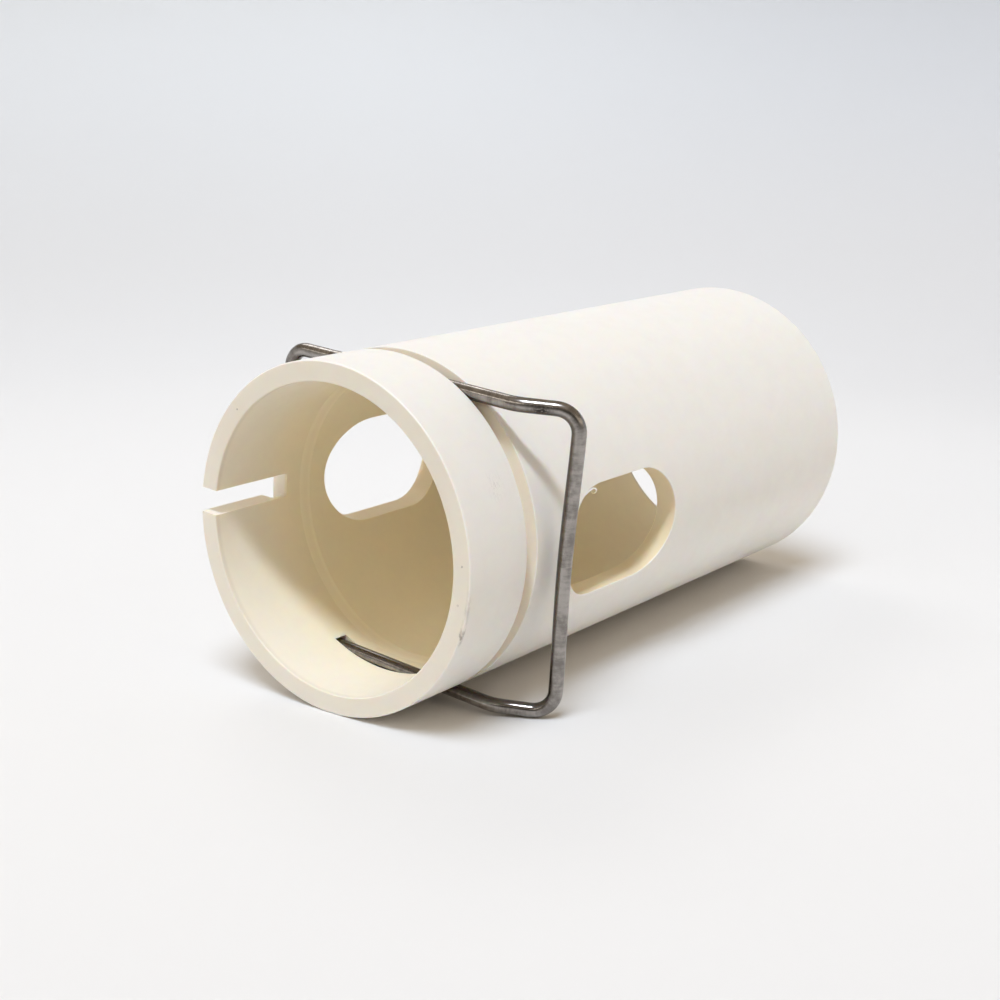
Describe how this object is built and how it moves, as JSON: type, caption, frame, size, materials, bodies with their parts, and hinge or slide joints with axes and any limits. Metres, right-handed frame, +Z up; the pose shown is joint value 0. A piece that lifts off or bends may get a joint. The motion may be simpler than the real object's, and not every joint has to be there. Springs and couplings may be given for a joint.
{
  "type": "clip-on foam tube",
  "caption": "Thick-walled plastic air-aspirating tube with two obround windows, a rim slot and a bent wire spring clip in its groove.",
  "frame": {"origin": "centre of the socket's mouth, on the tube's axis in the plane of the front rim", "axes": "+Y along the tube's axis from the front rim to the rear rim; +X towards the clip's grip; +Z up, with the part lying on its underside on a floor 45 mm below the axis"},
  "size_m": [0.1, 0.1875, 0.09],
  "materials": {
    "tube": "turned ivory plastic, satin",
    "clip_wire": "drawn stainless spring wire, dull"
  },
  "bodies": {
    "tube": {"tube": "tube"},
    "grip": {"clip_grip": "clip_wire"},
    "upper_leg": {"clip_upper_leg": "clip_wire"},
    "lower_leg": {"clip_lower_leg": "clip_wire"}
  },
  "joints": [
    {"name": "clip_pull", "type": "slide", "parent": "tube", "child": "grip", "axis": [0.9956, 0, -0.0936], "range_m": [0, 0.005], "stiffness_N_per_m": 6000},
    {"name": "upper_leg_spread", "type": "hinge", "parent": "grip", "child": "upper_leg", "pos_m": [0.05295, 0.0315, 0.02686], "axis": [0, 1, 0], "range_deg": [0, 3.6]},
    {"name": "lower_leg_spread", "type": "hinge", "parent": "grip", "child": "lower_leg", "pos_m": [0.04701, 0.0315, -0.03626], "axis": [0, -1, 0], "range_deg": [0, 3.6]}
  ],
  "couplings": [
    {"joint": "upper_leg_spread", "follows": "clip_pull", "rad_per_m": 12.2},
    {"joint": "lower_leg_spread", "follows": "clip_pull", "rad_per_m": 12.2}
  ]
}
